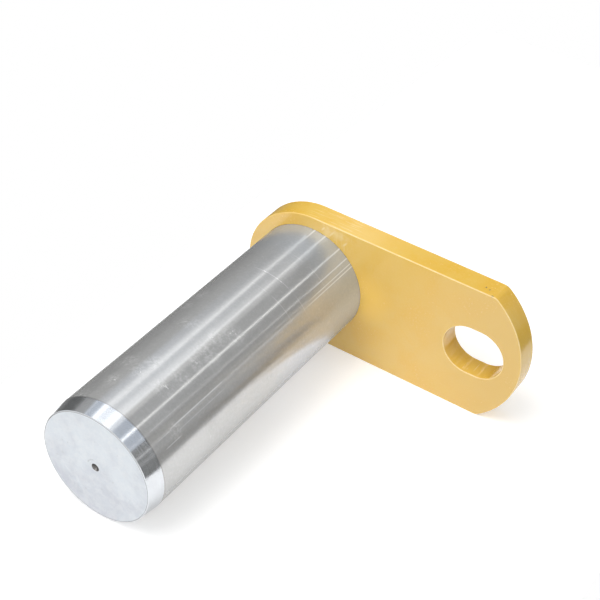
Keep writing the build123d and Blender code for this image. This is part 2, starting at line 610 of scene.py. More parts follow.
def face_steel(effects, finish):
    """The end face: faced in a lathe and left matt, with faint rings, clouded patches and painted
    shade towards the bottom.
    """
    material, tree, shader = blank("face_steel")
    where = surface_point(tree)
    flat = vectors(tree, "MULTIPLY", where, (1, 0, 1))
    from_axis = vectors(tree, "LENGTH", flat)
    marks = place(
        tree, effects["turning"], Along=from_axis, Across=where, Pitch=0.8 * MM, Run=12 * MM
    )
    wear = place(
        tree, effects["handling"], Vector=where, Nick_Size=0.9 * MM, Nicks=0.14,
        Patch_Size=11 * MM, Dust=0.4,
    )
    clouds = fade(tree, noise(tree, where, 210, 5.0, 0.65, 0.8), 0.35, 0.7)
    # Painted shade: more of the darker haze on the lower half of the end face.
    painted_shade_low = product(tree, fade(tree, split(tree, where)[2], 25 * MM, -40 * MM), 0.3)
    haze = maths(tree, "ADD", noise(tree, where, 44, 3.0, 0.55, 0.5), painted_shade_low)
    tone = mix(tree, fade(tree, haze, 0.45, 0.85), finish.faced_steel, finish.hazy_and_shade_steel)
    tone = mix(tree, product(tree, clouds, 0.28), tone, finish.worn_steel)
    tone = mix(tree, product(tree, wear["Nicks"], 0.35), tone, finish.nicked_steel)

    # A tool's mark: part of a ring beside the centre hole.
    scribed = fade(tree, distance_from(tree, from_axis, 5.4 * MM), 0.7 * MM, 0.2 * MM)
    beside_hole = spot_at(tree, effects, flat, (-4 * MM, 0, 4 * MM), 4 * MM, 0.6)
    scribed = product(tree, scribed, beside_hole, clouds, 0.5)
    feeds(
        tree, shader,
        Base_Color=mix(tree, scribed, tone, finish.oxide),
        Roughness=raised(tree, 0.46, (clouds, 0.08), (wear["Dust"], 1.0)),
        Metallic=0.5,
    )
    bump(tree, shader, marks["Streaks"], 0.2, 0.02 * MM)
    spread(tree)
    return material


def machined_steel(effects, finish):
    """Machined steel that nothing rubs: centre holes, relief groove and the fit in the bore."""
    material, tree, shader = blank("machined_steel")
    where = surface_point(tree)
    marks = place(
        tree, effects["turning"], Along=split(tree, where)[1], Across=where,
        Pitch=0.5 * MM, Run=10 * MM,
    )
    feeds(
        tree, shader,
        Base_Color=mix(tree, marks["Bands"], finish.oxide, finish.machined),
        Roughness=raised(tree, 0.3, (marks["Bands"], 0.2)),
        Metallic=1.0,
    )
    bump(tree, shader, marks["Streaks"], 0.3, 0.03 * MM)
    spread(tree)
    return material


def slot_scratches(tree, effects, where, flag):
    """The masks of the scratches on the slot's lower wall."""
    for x, y, half in SLOT_SCRATCHES:
        squeeze = (1 / (0.35 * MM), 1 / (half * MM), 1 / MM)
        centre = (flag.slot_centre + x * MM, y * MM, -flag.slot_width / 2)
        squeezed = vectors(tree, "MULTIPLY", where, squeeze)
        centre = [part * by for part, by in zip(centre, squeeze)]
        yield product(tree, spot_at(tree, effects, squeezed, centre, 1.0, 0.7), 0.7)


def rubbed_and_reflection_streaks(tree, effects, where, flag):
    """The masks of pale streaks beside the pin: rubbed marks along the long edge, and painted
    reflections across the face.
    """
    for squeeze, centre, reach in (
        ((60, 700, 60), (15 * MM, flag.thickness * 0.5, flag.half_width + 3 * MM), 27 * MM),
        # Painted reflections across the face beside the pin.
        ((1100, 60, 70), (24 * MM, -2 * MM, flag.half_width - 9 * MM), 11 * MM),
    ):
        squeezed = vectors(tree, "MULTIPLY", where, squeeze)
        streaks = fade(tree, noise(tree, squeezed, 1.0, 3.0, 0.6), 0.52, 0.7)
        rubbed = spot_at(tree, effects, where, centre, reach, 0.6)
        yield product(tree, rubbed, streaks, 0.6)


def painted_reflection_streaks(tree, effects, where, inner_face):
    """The masks of short pale streaks beside the pin, which all run the same way: painted
    reflections.
    """
    cosine, sine = math.cos(REFLECTION_STREAK_ANGLE), math.sin(REFLECTION_STREAK_ANGLE)
    run = vectors(tree, "DOT_PRODUCT", where, (cosine, 0, sine))
    side = vectors(tree, "DOT_PRODUCT", where, (sine, 0, -cosine))
    for x, z, half in REFLECTION_STREAKS:
        stretched = add(
            tree, "ShaderNodeCombineXYZ", X=product(tree, run, 1 / (half * MM)),
            Y=product(tree, side, 1 / MM),
        ).outputs[0]
        centre = ((x * cosine + z * sine) / half, x * sine - z * cosine, 0)
        reflection_streak = spot_at(tree, effects, stretched, centre, 1.0, 0.9)
        yield product(tree, reflection_streak, inner_face, 0.8)


def chipped_paint(tree, effects, where, flag):
    """The mask of the chips on the long edge and at the far corner, with ragged borders."""
    corner = far_corner(flag.half_width, flag.far_radius, flag.reach - flag.far_radius)
    chips = [
        spot_at(tree, effects, where, (x, y, z), reach, 0.9)
        for x, y, z, reach in (
            (corner - 3 * MM, 0.2 * MM, flag.half_width, 1.5 * MM),
            (corner - 7 * MM, 5 * MM, flag.half_width, 0.9 * MM),
            (corner - 10 * MM, 6 * MM, flag.half_width, 0.9 * MM),
            (corner, flag.thickness, flag.half_width - 0.5 * MM, 1.6 * MM),
            (30 * MM, flag.thickness, flag.half_width, 1.2 * MM),
        )
    ]
    ragged = fade(tree, noise(tree, where, 1500, 3.0, 0.7), 0.42, 0.5)
    return product(tree, fade(tree, largest(tree, *chips), 0.25, 0.45), ragged)


def uneven_paint(tree, wear, finish):
    """The paint's own tone: deeper in patches, and lighter under dust."""
    tone = mix(tree, wear["Patches"], finish.paint, finish.paint_deep)
    return mix(tree, product(tree, wear["Dust"], 1.4), tone, finish.dusty_and_highlight_paint)


def flag_paint(effects, finish, flag):
    """Brushed-on machine paint: satin, a little uneven, chipped at the far corners, with painted
    shade, painted light and painted reflections on its inner face.
    """
    material, tree, shader = blank("flag_paint")
    where = surface_point(tree)
    wear = place(
        tree, effects["handling"], Vector=where, Nick_Size=0.9 * MM, Nicks=0.08,
        Patch_Size=26 * MM, Dust=0.25,
    )
    tone = uneven_paint(tree, wear, finish)

    # Painted shade darkens the inner face towards the slot, and painted light brightens it beside
    # the pin.
    lengthwise, through, _ = split(tree, where)
    towards_slot = fade(tree, lengthwise, 60 * MM, flag.slot_centre + 26 * MM)
    inner_face = fade(tree, through, 0.6 * MM, 0.1 * MM)
    painted_shade_towards_slot = product(tree, towards_slot, inner_face, 0.8)
    tone = mix(tree, painted_shade_towards_slot, tone, finish.painted_shade_paint)
    # Painted light beside the pin, where the pin shades the plate.
    painted_light_beside_pin = spot_at(tree, effects, where, (40 * MM, 0, 4 * MM), 27 * MM, 0.75)
    tone = mix(tree, product(tree, painted_light_beside_pin, inner_face), tone, finish.painted_light_paint)

    # Pale paint over scratches and rubbed marks, and over the painted reflection streaks beside
    # the pin.
    for mask in (
        *slot_scratches(tree, effects, where, flag),
        *rubbed_and_reflection_streaks(tree, effects, where, flag),
        *painted_reflection_streaks(tree, effects, where, inner_face),
    ):
        tone = mix(tree, mask, tone, finish.pale_and_highlight_paint)
    chips = chipped_paint(tree, effects, where, flag)
    feeds(
        tree, shader,
        Base_Color=mix(tree, chips, tone, finish.chip),
        Roughness=raised(
            tree, 0.13, (wear["Patches"], 0.04), (chips, 0.3), (wear["Dust"], 1.0)
        ),
        Specular_IOR_Level=0.75,
        Coat_Weight=product(tree, inner_face, 0.9),
        Coat_Roughness=0.08,
    )
    bump(tree, shader, raised(tree, wear["Nicks"], (chips, -1.2)), 0.3, 0.06 * MM)
    spread(tree)
    return material


def edge_paint(finish):
    """The paint on the eased edges: glossier, and lighter as a painted highlight."""
    material, tree, shader = blank("edge_paint")
    where = surface_point(tree)
    uneven = fade(tree, noise(tree, where, 120, 3.0, 0.6), 0.35, 0.7)
    tone = mix(tree, uneven, finish.pale_and_highlight_paint, finish.dusty_and_highlight_paint)
    # The round end keeps the plain paint, without the painted highlight.
    round_end = product(tree, fade(tree, split(tree, where)[0], 12 * MM, -14 * MM), 0.8)
    tone = mix(tree, round_end, tone, finish.paint)
    feeds(tree, shader, Base_Color=tone, Roughness=0.2, Specular_IOR_Level=0.8)
    spread(tree)
    return material


def weld_paint(effects, finish):
    """The same paint over weld metal: deeper between the ripples, with small pits."""
    material, tree, shader = blank("weld_paint")
    where = surface_point(tree)
    wear = place(
        tree, effects["handling"], Vector=where, Nick_Size=0.8 * MM, Nicks=0.12,
        Patch_Size=12 * MM, Dust=0.3,
    )
    feeds(
        tree, shader,
        Base_Color=uneven_paint(tree, wear, finish),
        Roughness=raised(tree, 0.36, (wear["Patches"], 0.1), (wear["Dust"], 1.0)),
    )
    bump(tree, shader, noise(tree, where, 900, 3.0, 0.55), 0.35, 0.08 * MM)
    spread(tree)
    return material


def finishes():
    """The finishes by name, made once and then shared by the pieces."""
    names = (
        "journal_steel", "taper_steel", "face_steel", "machined_steel", "flag_paint",
        "edge_paint", "weld_paint",
    )
    known = {name: bpy.data.materials.get(name) for name in names}
    if all(known.values()):
        return known
    scene = bpy.context.scene
    finish = scene.link_pin_finish
    effects = {"turning": turning_marks(), "handling": handling_marks(), "spot": spot()}
    made = (
        journal_steel(effects, finish, scene.link_pin_turning),
        taper_steel(effects, finish),
        face_steel(effects, finish),
        machined_steel(effects, finish),
        flag_paint(effects, finish, scene.link_pin_flag),
        edge_paint(finish),
        weld_paint(effects, finish),
    )
    return dict(zip(names, made))


# ---------------------------------------------------------------------------------------------
# Pin
# ---------------------------------------------------------------------------------------------
DRILL_POINT = math.radians(59)  # half the point angle of a twist drill
CENTRE_CONE = math.radians(30)  # half the cone angle of a centre hole
STRIP = 0.3 * MM  # a narrow strip beside a crisp edge or a blend keeps the shading even
DARK_RIM = 0.25 * MM  # the end face's outermost ring, which is made dark
BLEND_STEPS, JOURNAL_SPANS = 8, 12


def arc(centre, radius, start, end, steps):
    """Points on an arc, from a start angle to an end angle in radians."""
    turns = [start + (end - start) * step / steps for step in range(steps + 1)]
    return [
        (centre[0] + radius * math.cos(turn), centre[1] + radius * math.sin(turn))
        for turn in turns
    ]


def pin_profile(size, outer_face):
    """The pin's half section as (radius, place along the axis, finish of the strip after it)."""
    free = -size.reach
    slope = math.tan(size.lead_in_angle)
    tip_radius = size.radius - size.lead_in * slope
    rim = free + size.lead_in
    mouth_depth = (size.centre_mouth - size.centre_pilot) / math.tan(CENTRE_CONE)
    tip_depth = size.centre_pilot / math.tan(DRILL_POINT)

    def centre_hole(face, inward):
        """A centre hole from its tip to its mouth, drilled inwards from an end face."""
        return [
            (0, face + inward * (size.centre_depth + tip_depth), "machined_steel"),
            (size.centre_pilot, face + inward * size.centre_depth, "machined_steel"),
            (size.centre_pilot, face + inward * mouth_depth, "machined_steel"),
        ]

    profile = centre_hole(free, 1)
    profile += [
        (size.centre_mouth, free, "face_steel"),
        (size.centre_mouth + STRIP, free, "face_steel"),
        (tip_radius / 2, free, "face_steel"),
        (tip_radius - size.edge_break - DARK_RIM, free, "machined_steel"),
        (tip_radius - size.edge_break, free, "taper_steel"),
    ]
    for depth in (size.edge_break, 1.6 * size.edge_break):
        profile.append((tip_radius + depth * slope, free + depth, "taper_steel"))

    # The soft rim between taper and journal touches both.
    half = size.blend * math.tan(size.lead_in_angle / 2)
    centre = (size.radius - size.blend, rim + half)
    start = (size.radius - half * math.sin(size.lead_in_angle),
             rim - half * math.cos(size.lead_in_angle))
    profile.append((start[0] - STRIP * slope, start[1] - STRIP, "taper_steel"))
    blend = arc(centre, size.blend, -size.lead_in_angle, 0.0, BLEND_STEPS)
    for number, (radius, along) in enumerate(blend):
        kind = "taper_steel" if number < len(blend) // 2 else "journal_steel"
        profile.append((radius, along, kind))

    first, last = rim + half + STRIP, -STRIP
    for span in range(JOURNAL_SPANS + 1):
        along = first + (last - first) * span / JOURNAL_SPANS
        profile.append((size.radius, along, "journal_steel"))
    profile += [
        (size.radius, 0, "machined_steel"),
        (size.radius - size.relief_depth, 0, "machined_steel"),
        (size.radius - size.relief_depth, size.relief_width, "machined_steel"),
        (size.radius, size.relief_width, "machined_steel"),
        (size.radius, outer_face - size.head_chamfer, "machined_steel"),
        (size.radius - size.head_chamfer, outer_face, "flag_paint"),
        (size.radius / 2, outer_face, "flag_paint"),
        (size.centre_mouth, outer_face, "flag_paint"),
    ]
    return profile + centre_hole(outer_face, -1)[::-1]


def turned(name, profile, steps, materials):
    """A closed solid turned about the Y axis. Corners of the profile stay crisp."""
    mesh = bmesh.new()
    uv = mesh.loops.layers.uv.new("turning")
    names = list(dict.fromkeys(finish for _, _, finish in profile))
    rings, reached = [], [0.0]
    for number, (radius, along, _) in enumerate(profile):
        if number:
            before = profile[number - 1]
            reached.append(reached[-1] + math.dist(before[:2], (radius, along)))
        if radius == 0:
            rings.append([mesh.verts.new((0, along, 0))])
            continue
        turns = (2 * math.pi * step / steps for step in range(steps))
        rings.append(
            [mesh.verts.new((radius * math.cos(t), along, radius * math.sin(t))) for t in turns]
        )

    reached_round = 2 * math.pi * max(radius for radius, _, _ in profile)
    for number in range(len(rings) - 1):
        here, there = rings[number], rings[number + 1]
        for step in range(steps):
            after = (step + 1) % steps
            corners = [(here, step, 0), (here, after, 0), (there, after, 1), (there, step, 1)]
            verts, places = [], []
            for ring, which, far in corners:
                vert = ring[which % len(ring)]
                if vert in verts:
                    continue
                verts.append(vert)
                turn = step + 1 if which == after else step
                places.append((reached[number + far] / reached_round, turn / steps))
            face = mesh.faces.new(verts)
            face.smooth = True
            face.material_index = names.index(profile[number][2])
            for loop, where in zip(face.loops, places):
                loop[uv].uv = where
    bmesh.ops.recalc_face_normals(mesh, faces=mesh.faces)
    for edge in mesh.edges:
        edge.smooth = edge.calc_face_angle(0) < CRISP
    return finished(name, mesh, [materials[finish] for finish in names])


def finished(name, mesh, materials):
    """Makes an object of the mesh at the origin, in the scene."""
    data = bpy.data.meshes.new(name)
    mesh.to_mesh(data)
    mesh.free()
    for material in materials:
        data.materials.append(material)
    piece = bpy.data.objects.new(name, data)
    bpy.context.scene.collection.objects.link(piece)
    return piece


class LINKPIN_OT_turn_pin(bpy.types.Operator):
    """Turn the pin: journal, tapered lead-in, head and the centre hole in each end"""

    bl_idname = "linkpin.turn_pin"
    bl_label = "Turn Pin"

    def execute(self, context):
        scene = context.scene
        profile = pin_profile(scene.link_pin_turning, scene.link_pin_flag.thickness)
        piece = turned("turned_pin", profile, scene.link_pin_turning.steps, finishes())
        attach(piece, "root")
        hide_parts("pin")
        return {"FINISHED"}


# ---------------------------------------------------------------------------------------------
# Flag plate
# ---------------------------------------------------------------------------------------------
# Straight steps in each arc of the plate.
EYE_STEPS, FAR_STEPS, CORNER_STEPS, SLOT_STEPS, BORE_STEPS, EDGE_STEPS = 128, 48, 10, 64, 192, 4


def far_corner(half_width, far_radius, centre):
    """The X at which the straight edges would meet the far arc, whose centre is given."""
    return centre + math.sqrt(far_radius**2 - half_width**2)


def rounded_corner(corner, centre, far_radius, radius):
    """The arc that rounds the corner between a straight edge and the far arc, in order."""
    # Its centre lies one radius inside the edge and one radius inside the far arc.
    side = math.copysign(1, corner[1])
    level = corner[1] - side * radius
    across = math.sqrt((far_radius - radius) ** 2 - level**2)
    middle = (centre + across, level)
    outward = math.atan2(level, across)
    return arc(middle, radius, *sorted((side * math.pi / 2, outward)), CORNER_STEPS)


def flag_outline(size, inset):
    """The plate's outline in X and Z, anticlockwise as seen from its inner face."""
    half_width, far_radius = size.half_width - inset, size.far_radius - inset
    centre = size.reach - size.far_radius
    corner = far_corner(half_width, far_radius, centre)
    lower = rounded_corner((corner, -half_width), centre, far_radius, size.corner - inset)
    upper = [(x, -z) for x, z in reversed(lower)]
    swing = math.atan2(upper[0][1], upper[0][0] - centre)
    far = arc((centre, 0), far_radius, -swing, swing, FAR_STEPS)[1:-1]
    eye = arc((0, 0), half_width, math.pi / 2, 3 * math.pi / 2, EYE_STEPS)
    return eye + lower + far + upper


def slot_outline(size, inset):
    """The keeper slot's outline: two half circles joined by straight edges."""
    radius = size.slot_width / 2 + inset
    half = (size.slot_length - size.slot_width) / 2
    up = math.pi / 2
    right = arc((size.slot_centre + half, 0), radius, -up, up, SLOT_STEPS)
    left = arc((size.slot_centre - half, 0), radius, up, 3 * up, SLOT_STEPS)
    return right + left


def bore_outline(radius, inset):
    """The bore's outline, without the point that would close it twice."""
    return arc((0, 0), radius + inset, 0.0, 2 * math.pi, BORE_STEPS)[:-1]


def eased_edge(edge, thickness):
    """Stations of a wall whose edges are rounded: inset, place along Y, finish of what follows."""
    turns = [math.pi / 2 * step / EDGE_STEPS for step in range(EDGE_STEPS + 1)]
    insets = [edge * (1 - math.sin(turn)) for turn in turns]
    near = [(inset, edge * (1 - math.cos(turn)), 1) for inset, turn in zip(insets, turns)]
    far = [(inset, thickness - y, 1) for inset, y, _ in reversed(near)]
    return near[:-1] + [(0, edge, 0)] + far


def wall(mesh, outline, stations):
    """A wall through the outline at each station. Gives its first and last loop of points."""
    loops = [
        [mesh.verts.new((x, y, z)) for x, z in outline(inset)] for inset, y, _ in stations
    ]
    for (_, _, finish), here, there in zip(stations, loops, loops[1:]):
        for number, vert in enumerate(here):
            face = mesh.faces.new((here[number - 1], vert, there[number], there[number - 1]))
            face.smooth = True
            face.material_index = finish
    return loops[0], loops[-1]


class LINKPIN_OT_cut_flag(bpy.types.Operator):
    """Cut the flag plate: round end about the pin, flatter far end, keeper slot and bore"""

    bl_idname = "linkpin.cut_flag"
    bl_label = "Cut Flag Plate"

    def execute(self, context):
        size = context.scene.link_pin_flag
        bore = context.scene.link_pin_turning.radius + size.bore_gap
        mesh = bmesh.new()
        eased = eased_edge(size.edge, size.thickness)
        bored = [(0, 0, 0), (0, size.thickness - size.bevel, 0), (size.bevel, size.thickness, 0)]
        walls = (
            wall(mesh, lambda inset: flag_outline(size, inset), eased),
            wall(mesh, lambda inset: slot_outline(size, inset), eased),
            wall(mesh, lambda inset: bore_outline(bore, inset), bored),
        )
        for loops in zip(*walls):
            rims = [
                mesh.edges.get((before, after))
                for loop in loops
                for before, after in zip(loop, loop[1:] + loop[:1])
            ]
            bmesh.ops.triangle_fill(mesh, use_beauty=True, use_dissolve=False, edges=rims)
        bmesh.ops.recalc_face_normals(mesh, faces=mesh.faces)
        for edge in mesh.edges:
            if not edge.is_manifold:
                raise RuntimeError("the flag plate isn't a closed solid")
            one, other = edge.link_faces
            same = one.material_index == other.material_index and one.smooth == other.smooth
            edge.smooth = same and edge.calc_face_angle(0) < CRISP
        paints = [finishes()["flag_paint"], finishes()["edge_paint"]]
        piece = finished("cut_flag", mesh, paints)
        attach(piece, "root")
        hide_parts("flag_plate")
        return {"FINISHED"}


# ---------------------------------------------------------------------------------------------
# Weld bead
# ---------------------------------------------------------------------------------------------
CROWN_STEPS = 16  # straight steps across the crown
STEPS_IN_RIPPLE = 8.0  # straight steps along the bead in each ripple
BEAD_CRISP = math.radians(40)  # as CRISP, but ripples stay smooth
SAME_POINT = 0.001 * MM  # points closer than this are merged


def bead_section(weld, turning, flag):
    """The bead's closed section, X from the axis and Y along it: a crown over the weld groove."""
    face = flag.thickness
    bore = turning.radius + flag.bore_gap
    head = turning.radius - turning.head_chamfer
    inner, outer = head - weld.lap, bore + flag.bevel + weld.lap
    half = (outer - inner) / 2
    radius = (half**2 + weld.crown**2) / (2 * weld.crown)
    swing = math.asin(half / radius)
    crown = arc(
        ((inner + outer) / 2, face + weld.crown - radius), radius,
        math.pi / 2 - swing, math.pi / 2 + swing, CROWN_STEPS,
    )
    groove = [
        (head, face),
        (turning.radius, face - turning.head_chamfer),
        (turning.radius, face - flag.bevel),
        (bore, face - flag.bevel),
        (outer - weld.lap, face),
    ]
    return crown + groove


def captured(tree, geometry, kind, name, value):
    """Keeps a value on each point of a geometry. Gives the geometry, and the value kept."""
    node = add(tree, "GeometryNodeCaptureAttribute")
    node.capture_items.new(kind, name)
    feed(tree, node, "Geometry", geometry)
    feed(tree, node, name, value)
    return node.outputs["Geometry"], node.outputs[name]


def swept_ring(tree, section, steps):
    """Sweeps a section round a circle. Gives the mesh, and each point's section place and turn."""
    line = add(tree, "GeometryNodeMeshToCurve", Mesh=section).outputs[0]
    position = add(tree, "GeometryNodeInputPosition").outputs[0]
    profile, section_place = captured(tree, line, "VECTOR", "Place", position)
    circle = add(tree, "GeometryNodeCurvePrimitiveCircle", Resolution=steps).outputs["Curve"]
    factor = add(tree, "GeometryNodeSplineParameter").outputs["Factor"]
    path, turn = captured(tree, circle, "FLOAT", "Turn", factor)
    mesh = add(tree, "GeometryNodeCurveToMesh", Curve=path, Profile_Curve=profile).outputs[0]
    return mesh, section_place, turn


def ripples(tree, ins, crown, turn):
    """How far the ripples sink the crown. Each bows back towards the crown's top."""
    count = product(tree, turn, ins["Ripples"])
    bowed = product(tree, maths(tree, "SQRT", crown), ins["Bow"])
    phase = product(tree, maths(tree, "ADD", count, bowed), 2 * math.pi)
    wave = maths(tree, "SUBTRACT", maths(tree, "SINE", phase), 1.0)
    return product(tree, wave, ins["Ripple Height"], fade(tree, crown, 0.0, 0.5))


def bead_tree():
    """Sweeps a section round the Y axis and works ripples and a wandering toe into its crown."""
    tree, ins, out = group(
        "Ring Weld",
        [("Geometry", GEOMETRY, None), ("Face", FLOAT, None), ("Crown", FLOAT, None),
         ("Ripples", INTEGER, None), ("Ripple Height", FLOAT, None), ("Bow", FLOAT, None),
         ("Wander", FLOAT, None), ("Seed", INTEGER, None), ("Finish", MATERIAL, None)],
        [("Geometry", GEOMETRY)],
        "GeometryNodeTree",
    )
    steps = product(tree, ins["Ripples"], STEPS_IN_RIPPLE)
    mesh, section_place, turn = swept_ring(tree, ins["Geometry"], steps)
    from_axis, along, _ = split(tree, section_place)
    angle_round = product(tree, turn, 2 * math.pi)
    cosine = maths(tree, "COSINE", angle_round)
    sine = maths(tree, "SINE", angle_round)
    above = maths(tree, "SUBTRACT", along, ins["Face"])
    crown = maths(tree, "DIVIDE", above, ins["Crown"])
    crown = add(tree, "ShaderNodeClamp", Value=crown).outputs[0]

    # The toes wander inwards only, so the bead stays within its drawn section.
    seeded = add(tree, "ShaderNodeCombineXYZ", X=cosine, Y=sine, Z=from_axis).outputs[0]
    uneven = add(
        tree, "ShaderNodeTexNoise", {"noise_dimensions": "4D"}, Vector=seeded,
        W=ins["Seed"], Scale=9.0, Detail=2.0,
    ).outputs[0]
    sway = product(tree, maths(tree, "SUBTRACT", uneven, 1.0), ins["Wander"])
    on_top = maths(tree, "GREATER_THAN", above, -0.01 * MM)
    radius = maths(tree, "ADD", from_axis, product(tree, sway, on_top))
    along = maths(tree, "ADD", along, ripples(tree, ins, crown, turn))
    along = maths(tree, "ADD", along, product(tree, sway, crown))
    point = add(
        tree, "ShaderNodeCombineXYZ", X=product(tree, radius, cosine), Y=along,
        Z=product(tree, radius, sine),
    ).outputs[0]

    moved = add(tree, "GeometryNodeSetPosition", Geometry=mesh, Position=point).outputs[0]
    smooth = add(tree, "GeometryNodeSetShadeSmooth", Geometry=moved).outputs[0]
    real = add(tree, "GeometryNodeRealizeInstances", Geometry=smooth).outputs[0]
    coated = add(tree, "GeometryNodeSetMaterial", Geometry=real, Material=ins["Finish"])
    feed(tree, out, "Geometry", coated.outputs[0])
    spread(tree)
    return tree


def made_plain(piece):
    """Turns a piece's modifiers into plain mesh."""
    evaluated = piece.evaluated_get(bpy.context.evaluated_depsgraph_get())
    data = bpy.data.meshes.new_from_object(evaluated)
    old = piece.data
    piece.modifiers.clear()
    piece.data = data
    data.name = piece.name
    bpy.data.meshes.remove(old)
    return piece


def face_outwards(data):
    """Merges doubled points, turns every face outwards and keeps sharp corners crisp."""
    mesh = bmesh.new()
    mesh.from_mesh(data)
    bmesh.ops.remove_doubles(mesh, verts=mesh.verts, dist=SAME_POINT)
    bmesh.ops.recalc_face_normals(mesh, faces=mesh.faces)
    for edge in mesh.edges:
        edge.smooth = edge.calc_face_angle(0) < BEAD_CRISP
    if any(not edge.is_manifold for edge in mesh.edges):
        raise RuntimeError("the weld bead isn't a closed solid")
    mesh.to_mesh(data)
    mesh.free()


class LINKPIN_OT_lay_weld(bpy.types.Operator):
    """Lay the ring of weld that joins the pin's head to the flag plate"""

    bl_idname = "linkpin.lay_weld"
    bl_label = "Lay Weld Bead"

    def execute(self, context):
        scene = context.scene
        weld, flag = scene.link_pin_weld, scene.link_pin_flag
        mesh = bmesh.new()
        section = bead_section(weld, scene.link_pin_turning, flag)
        verts = [mesh.verts.new((x, y, 0)) for x, y in section]
        for pair in zip(verts, verts[1:] + verts[:1]):
            mesh.edges.new(pair)
        piece = finished("ring_weld", mesh, [])
        laid = piece.modifiers.new("Ring Weld", "NODES")
        laid.node_group = bead_tree()
        values = {
            "Face": flag.thickness,
            "Crown": weld.crown,
            "Ripples": weld.ripples,
            "Ripple Height": weld.ripple_height,
            "Bow": weld.bow,
            "Wander": weld.wander,
            "Seed": weld.seed,
            "Finish": finishes()["weld_paint"],
        }
        for item in laid.node_group.interface.items_tree:
            if item.in_out == "INPUT" and item.name in values:
                laid[item.identifier] = values[item.name]
        piece = made_plain(piece)
        face_outwards(piece.data)
        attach(piece, "root")
        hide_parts("weld_bead")
        return {"FINISHED"}


# ---------------------------------------------------------------------------------------------
# Stage
# ---------------------------------------------------------------------------------------------
# Strip lights that hang along the pin: angle round its axis from +X, width as an angle, distance
# from the axis, where they start and end along Y, and brightness.
SKYLIGHTS = (
    ("ceiling_near", 112, 48, 0.35, -0.35, 0.13, 0.50),
    ("ceiling_far", 112, 50, 1.0, -0.3, 1.2, 0.10),
    ("side_sky", 62, 48, 1.0, -0.3, 0.2, 0.65),
    ("right_sky_far", 8, 26, 1.0, 0.54, 1.6, 0.38),
)
LAMPS = (
    ("ceiling_end", 104, 36, 1.0, -0.3, 0.2, 0.45),
    ("left_shoulder_end", 146, 24, 1.0, -0.3, 0.2, 0.3),
    ("side_tube_end", 61, 5, 1.0, -0.3, 0.2, 0.5),
    ("right_fill_end", 15, 44, 1.0, -0.3, 0.2, 0.14),
    ("left_low", 203, 20, 1.0, -0.3, 1.6, 0.12),
    ("left_shoulder", 151, 26, 1.0, -0.3, 1.4, 0.10),
    ("right_shoulder", 85, 8, 1.0, -0.3, 0.7, 0.42),
    ("left_tube", 117, 9, 0.35, -0.35, 0.2, 0.36),
    ("left_tube_far", 120, 4, 1.0, 0.68, 2.2, 2.1),
    ("right_tube", 94.5, 14, 0.35, -0.35, 0.18, 0.34),
    ("right_tube_far", 95, 4, 1.0, 0.68, 2.2, 1.8),
    ("left_core", 118.5, 8, 1.0, -0.3, 0.68, 0.42),
    ("right_core", 93.5, 11, 1.0, -0.3, 0.68, 0.30),
    ("side_tube", 60.5, 2.6, 1.0, -0.3, 0.7, 1.3),
    ("side_tube_far", 59, 2.4, 1.0, 0.6, 2.2, 1.6),
    ("low_tube", 42.5, 4, 1.0, -0.3, 0.6, 0.15),
    ("lower_tube", 22.7, 1.8, 1.0, -0.3, 0.8, 0.7),
    ("lowest_tube", 11.5, 5, 1.0, -0.3, 0.8, 0.15),
    ("low_tube_far", 38, 1.5, 1.0, 0.75, 2.5, 1.9),
    ("lower_tube_far", 26.6, 1.5, 1.0, 0.75, 2.5, 1.6),
    ("lowest_tube_far", 20.2, 1.5, 1.0, 0.75, 2.5, 1.3),
)
SOFTBOXES = (  # square, and turned to the origin: centre, width, brightness
    ("front_softbox", (-0.45, -0.75, 1.7), 1.4, 2.55),
    ("back_softbox", (0.1, 2.2, 0.35), 0.9, 6.0),
    ("side_softbox", (1.1, -0.55, 0.7), 0.8, 0.95),
)
FLOOR_X, FLOOR_Y = (-0.122, 0.255), (-0.6, 0.5)
WALL_RADIUS = 3.0
SENSOR_WIDTH = 36  # millimetres, as the lens


def seen_white(tree):
    """1 for a ray from the camera, or one that gloss or glass sends on, and 0 for any other."""
    path = add(tree, "ShaderNodeLightPath").outputs
    return largest(
        tree, path["Is Camera Ray"], path["Is Glossy Ray"], path["Is Transmission Ray"]
    )


def floor_material(stage):
    """A matt pale sheet that looks a little brighter to the camera than it is lit."""
    material, tree, shader = blank("floor_sheet")
    feeds(
        tree, shader, Base_Color=stage.floor, Roughness=0.9, Specular_IOR_Level=0.1,
        Emission_Color=(1, 1, 1), Emission_Strength=product(tree, seen_white(tree), 0.3),
    )
    spread(tree)
    return material


def wall_material(stage):
    """Walls all round: pale in front of the plate, and dark behind it for gloss to show."""
    material, tree, shader = blank("stage_walls")
    tree.nodes.remove(shader)
    behind = split(tree, vectors(tree, "NORMALIZE", surface_point(tree)))[1]
    shade = mix(tree, fade(tree, behind, -0.35, 0.1), stage.front_walls, stage.back_walls)
    light = add(tree, "ShaderNodeEmission", Color=shade)
    feed(tree, tree.nodes["Material Output"], "Surface", light.outputs[0])
    return material


def lay_floor(stage, turning, flag):
    """A sheet on which the part lies on the plate's long edge and the rim of the pin's taper."""
    drop = (flag.half_width - turning.radius) / (turning.reach - turning.lead_in)
    (left, right), (front, back) = FLOOR_X, FLOOR_Y
    mesh = bmesh.new()
    mesh.faces.new([
        mesh.verts.new((x, y, -flag.half_width - y * drop))
        for x, y in ((left, front), (right, front), (right, back), (left, back))
    ])
    piece = finished("floor", mesh, [floor_material(stage)])


def set_walls(stage):
    """A shell all round that only reflections and soft light see."""
    mesh = bmesh.new()
    bmesh.ops.create_icosphere(mesh, subdivisions=4, radius=WALL_RADIUS)
    bmesh.ops.reverse_faces(mesh, faces=mesh.faces)
    walls = finished("stage_walls", mesh, [wall_material(stage)])
    walls.visible_camera = False


